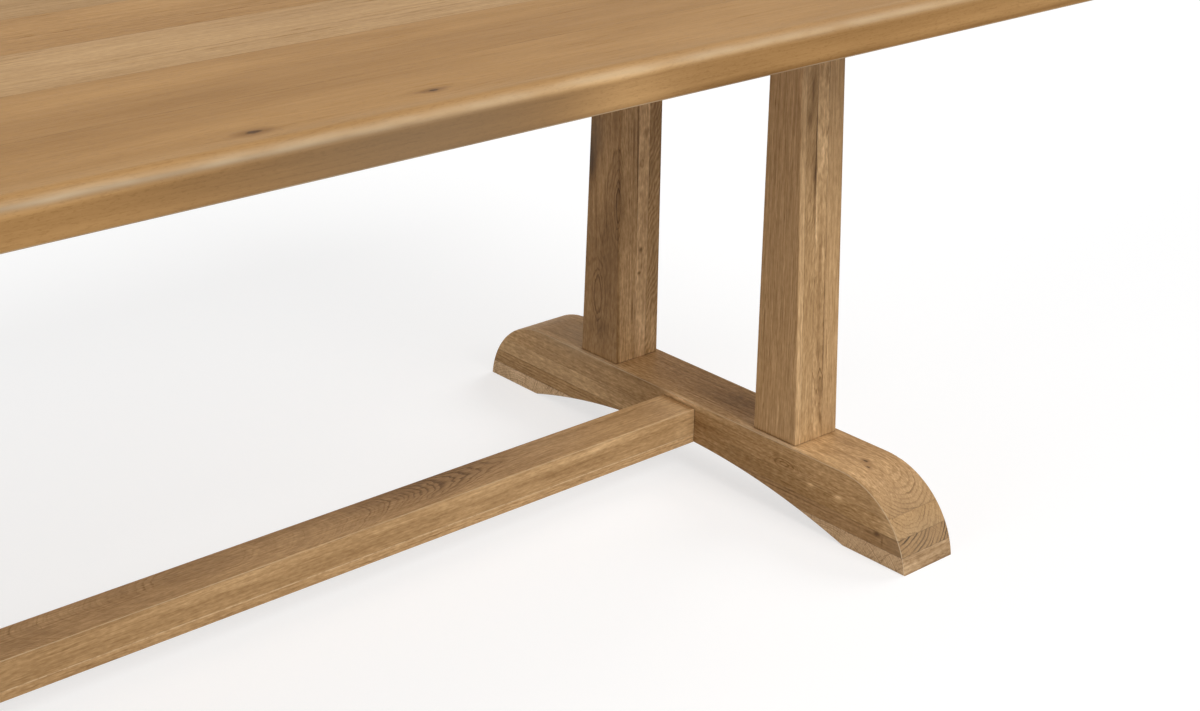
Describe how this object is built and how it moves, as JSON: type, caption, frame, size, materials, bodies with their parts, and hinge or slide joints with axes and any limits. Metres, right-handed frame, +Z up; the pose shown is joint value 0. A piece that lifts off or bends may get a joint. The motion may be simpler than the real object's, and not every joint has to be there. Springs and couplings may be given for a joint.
{
  "type": "trestle dining table",
  "caption": "Solid oak dining table on twin-post trestles with arched, round-ended feet, a low stretcher and a thick round-edged top.",
  "frame": {"origin": "on the floor under the centre of the tabletop", "axes": "+X along the length of the table, +Y towards its rear long side, +Z up"},
  "size_m": [2, 1, 0.756],
  "materials": {
    "oak_tabletop": "oiled oak, satin, knots and grain lengthwise",
    "oak_trestle": "oiled oak, satin, glued-up boards",
    "oak_stretcher": "oiled oak, satin",
    "beech_dowel": "bare beech",
    "zinc_plated_steel": "bright zinc plate"
  },
  "bodies": {
    "root": {"left_bearer_lower_board": "oak_trestle", "left_bearer_upper_board": "oak_trestle", "left_foot_middle_board": "oak_trestle", "left_foot_upper_board": "oak_trestle", "left_front_foot_lower_board": "oak_trestle", "left_front_foot_pad": "oak_trestle", "left_front_post_inner_board": "oak_trestle", "left_front_post_middle_board": "oak_trestle", "left_front_post_outer_board": "oak_trestle", "left_rear_foot_lower_board": "oak_trestle", "left_rear_foot_pad": "oak_trestle", "left_rear_post_facing_board": "oak_trestle", "left_rear_post_inner_board": "oak_trestle", "left_rear_post_middle_board": "oak_trestle", "left_rear_post_outer_board": "oak_trestle", "left_stretcher_barrel_nut": "zinc_plated_steel", "left_stretcher_bolt": "zinc_plated_steel", "left_stretcher_bolt_washer": "zinc_plated_steel", "left_stretcher_dowels": "beech_dowel", "left_top_bolt_washers": "zinc_plated_steel", "left_top_bolts": "zinc_plated_steel", "left_top_inserts": "zinc_plated_steel", "right_bearer_lower_board": "oak_trestle", "right_bearer_upper_board": "oak_trestle", "right_foot_middle_board": "oak_trestle", "right_foot_upper_board": "oak_trestle", "right_front_foot_lower_board": "oak_trestle", "right_front_foot_pad": "oak_trestle", "right_front_post_facing_board": "oak_trestle", "right_front_post_inner_board": "oak_trestle", "right_front_post_middle_board": "oak_trestle", "right_front_post_outer_board": "oak_trestle", "right_rear_foot_lower_board": "oak_trestle", "right_rear_foot_pad": "oak_trestle", "right_rear_post_inner_board": "oak_trestle", "right_rear_post_middle_board": "oak_trestle", "right_rear_post_outer_board": "oak_trestle", "right_stretcher_barrel_nut": "zinc_plated_steel", "right_stretcher_bolt": "zinc_plated_steel", "right_stretcher_bolt_washer": "zinc_plated_steel", "right_stretcher_dowels": "beech_dowel", "right_top_bolt_washers": "zinc_plated_steel", "right_top_bolts": "zinc_plated_steel", "right_top_inserts": "zinc_plated_steel", "stretcher_lower_board": "oak_stretcher", "stretcher_upper_board": "oak_stretcher", "top_board_1": "oak_tabletop", "top_board_2": "oak_tabletop", "top_board_3": "oak_tabletop", "top_board_4": "oak_tabletop", "top_board_5": "oak_tabletop", "top_board_6": "oak_tabletop", "top_board_7": "oak_tabletop", "top_board_8": "oak_tabletop"}
  },
  "joints": []
}
